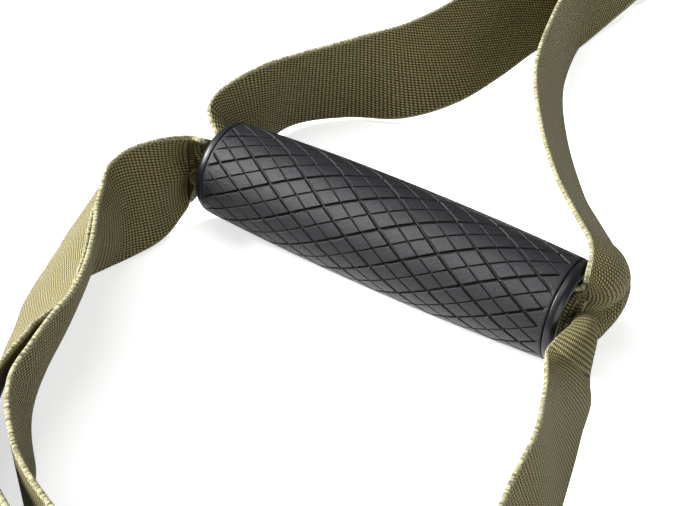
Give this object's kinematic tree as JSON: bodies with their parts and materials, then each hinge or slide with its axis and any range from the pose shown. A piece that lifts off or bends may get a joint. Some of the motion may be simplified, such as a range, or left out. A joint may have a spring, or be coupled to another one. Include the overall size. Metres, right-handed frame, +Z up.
{
  "type": "suspension trainer",
  "caption": "Olive webbing suspension trainer with grooved rubber grips, foot cradles, cam buckles and a snap hook, laid out on a table.",
  "frame": {"origin": "centre of the bottom of the whole object's box, on the table", "axes": "+Y from the grips to the carabiner, +X from grip 2 to grip 1 (the pictured one), +Z up from the table"},
  "size_m": [0.5882, 1.0562, 0.0412],
  "materials": {
    "webbing_olive": "coarse woven webbing",
    "rubber_black": "matt with crossing grooves",
    "plastic_black": "moulded, rounded",
    "core_plastic": "extruded tube",
    "steel": "plated wire and bar",
    "steel_black": "black coated",
    "elastic_black": "woven elastic band"
  },
  "bodies": {
    "webbing": {"hand_loop_1": "webbing_olive", "foot_strap_1": "webbing_olive", "heel_strap_1": "webbing_olive", "ring_link_1": "steel", "main_strap_1": "webbing_olive", "buckle_frame_1": "steel_black", "cam_pin_1": "steel", "cam_spring_1": "steel", "hank_tie_1": "elastic_black", "hand_loop_2": "webbing_olive", "foot_strap_2": "webbing_olive", "heel_strap_2": "webbing_olive", "ring_link_2": "steel", "main_strap_2": "webbing_olive", "buckle_frame_2": "steel_black", "cam_pin_2": "steel", "cam_spring_2": "steel", "hank_tie_2": "elastic_black", "anchor_loop": "webbing_olive"},
    "grip_1": {"grip_sleeve_1": "rubber_black", "core_tube_1": "core_plastic", "end_cap_left_1": "plastic_black", "end_cap_right_1": "plastic_black"},
    "grip_2": {"grip_sleeve_2": "rubber_black", "core_tube_2": "core_plastic", "end_cap_left_2": "plastic_black", "end_cap_right_2": "plastic_black"},
    "cam_1": {"buckle_cam_1": "steel_black"},
    "cam_2": {"buckle_cam_2": "steel_black"},
    "carabiner": {"carabiner_body": "steel", "gate_pin": "steel_black"},
    "gate": {"carabiner_gate": "steel"}
  },
  "joints": [
    {"name": "grip_1_spin", "type": "hinge", "parent": "webbing", "child": "grip_1", "pos_m": [0.175, -0.34725, 0.01955], "axis": [1, 0, 0], "continuous": true},
    {"name": "grip_2_spin", "type": "hinge", "parent": "webbing", "child": "grip_2", "pos_m": [-0.175, -0.34725, 0.01955], "axis": [1, 0, 0], "continuous": true},
    {"name": "cam_1_lever", "type": "hinge", "parent": "webbing", "child": "cam_1", "pos_m": [0.15, 0.01825, 0.01495], "axis": [1, 0, 0], "range_deg": [0, 25], "stiffness_Nm_per_rad": 0.1, "springref_deg": -17.19},
    {"name": "cam_2_lever", "type": "hinge", "parent": "webbing", "child": "cam_2", "pos_m": [-0.15, 0.01825, 0.01495], "axis": [1, 0, 0], "range_deg": [0, 25], "stiffness_Nm_per_rad": 0.1, "springref_deg": -17.19},
    {"name": "carabiner_swing", "type": "hinge", "parent": "webbing", "child": "carabiner", "pos_m": [0, 0.42875, 0.00964], "axis": [1, 0, 0], "range_deg": [0, 90]},
    {"name": "gate_open", "type": "hinge", "parent": "carabiner", "child": "gate", "pos_m": [-0.0175, 0.45542, 0.00834], "axis": [0, 0.0486, 0.9988], "range_deg": [-25, 0], "stiffness_Nm_per_rad": 0.15, "springref_deg": 14.32}
  ]
}
